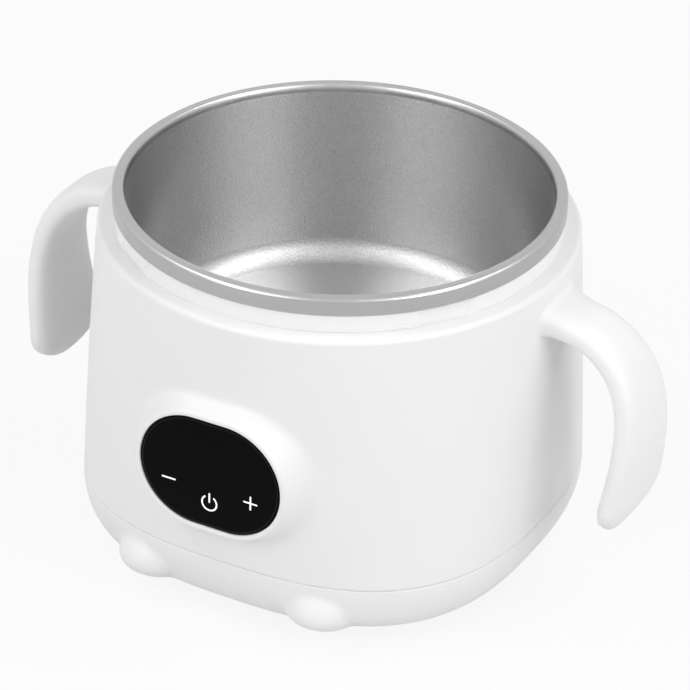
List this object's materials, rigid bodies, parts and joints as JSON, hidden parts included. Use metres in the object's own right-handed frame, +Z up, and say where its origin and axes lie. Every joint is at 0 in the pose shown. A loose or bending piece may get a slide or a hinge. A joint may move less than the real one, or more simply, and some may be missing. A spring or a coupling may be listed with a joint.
{
  "type": "baby food warmer",
  "caption": "Rounded table-top warmer with a lift-out steel bowl, two hook handles, a front touch panel and a covered charging port.",
  "frame": {"origin": "on the table, under the bowl's axis", "axes": "+Z up along the bowl's axis, +X towards the right handle, -Y towards the touch panel"},
  "size_m": [0.1856, 0.1346, 0.1044],
  "materials": {
    "white_shell": "fine satin moulded white",
    "white_liner": "smooth moulded white",
    "bowl_steel": "bead-blasted satin stainless",
    "black_lens": "polished black",
    "symbol_white": "light window, white",
    "silicone": "translucent matt",
    "dark_foam": "adhesive foam",
    "cast_aluminium": "machined",
    "film_amber": "amber film",
    "felt": "needled felt",
    "zinc_steel": "zinc plated",
    "fuse_body": "ceramic",
    "dark_plastic": "moulded black",
    "grey_plastic": "moulded grey",
    "board_green": "solder resist",
    "ivory_plastic": "moulded ivory",
    "cell_wrap": "shrink wrap",
    "nickel": "bright strip",
    "red_wire": "silicone wire",
    "yellow_wire": "silicone wire",
    "black_wire": "silicone wire",
    "orange_cable": "flat film cable"
  },
  "bodies": {
    "warmer": {"outer_housing": "white_shell", "inner_liner": "white_liner", "liner_seal": "silicone", "heating_plate": "cast_aluminium", "plate_seal": "silicone", "heating_film": "film_amber", "insulation_pad": "felt", "heater_retainer": "zinc_steel", "heater_screws": "zinc_steel", "thermal_fuse": "fuse_body", "sensor_sleeve": "dark_plastic", "sensor_spring": "zinc_steel", "left_handle": "white_shell", "right_handle": "white_shell", "handle_screws": "zinc_steel", "touch_panel": "black_lens", "touch_icons": "symbol_white", "panel_gasket": "dark_foam", "touch_board": "board_green", "display_module": "grey_plastic", "panel_cable": "orange_cable", "main_board": "board_green", "board_chips": "dark_plastic", "board_connectors": "ivory_plastic", "buzzer": "dark_plastic", "board_screws": "zinc_steel", "front_cell": "cell_wrap", "middle_cell": "cell_wrap", "rear_cell": "cell_wrap", "cell_tabs": "nickel", "battery_tray": "grey_plastic", "battery_cover": "grey_plastic", "tray_screws": "zinc_steel", "battery_lead": "red_wire", "heater_leads": "red_wire", "sensor_lead": "yellow_wire", "charge_lead": "black_wire", "usb_board": "board_green", "usb_socket": "zinc_steel", "usb_screws": "zinc_steel", "cover_pin": "zinc_steel", "base_cover": "white_shell", "base_seal": "silicone", "base_screws": "zinc_steel", "front_left_pad": "silicone", "front_right_pad": "silicone", "rear_left_pad": "silicone", "rear_right_pad": "silicone"},
    "bowl": {"steel_bowl": "bowl_steel"},
    "probe": {"sensor_plunger": "bowl_steel"},
    "cover": {"port_cover": "white_shell"}
  },
  "joints": [
    {"name": "bowl_lift", "type": "slide", "parent": "warmer", "child": "bowl", "axis": [0, 0, 1], "range_m": [0, 0.07]},
    {"name": "probe_press", "type": "slide", "parent": "warmer", "child": "probe", "axis": [0, 0, -1], "range_m": [0, 0.0015], "stiffness_N_per_m": 400, "springref_m": -0.001, "deforming": ["sensor_spring"]},
    {"name": "cover_hinge", "type": "hinge", "parent": "warmer", "child": "cover", "pos_m": [0, 0.065, 0.0287], "axis": [-1, 0, 0], "range_deg": [0, 95]}
  ]
}
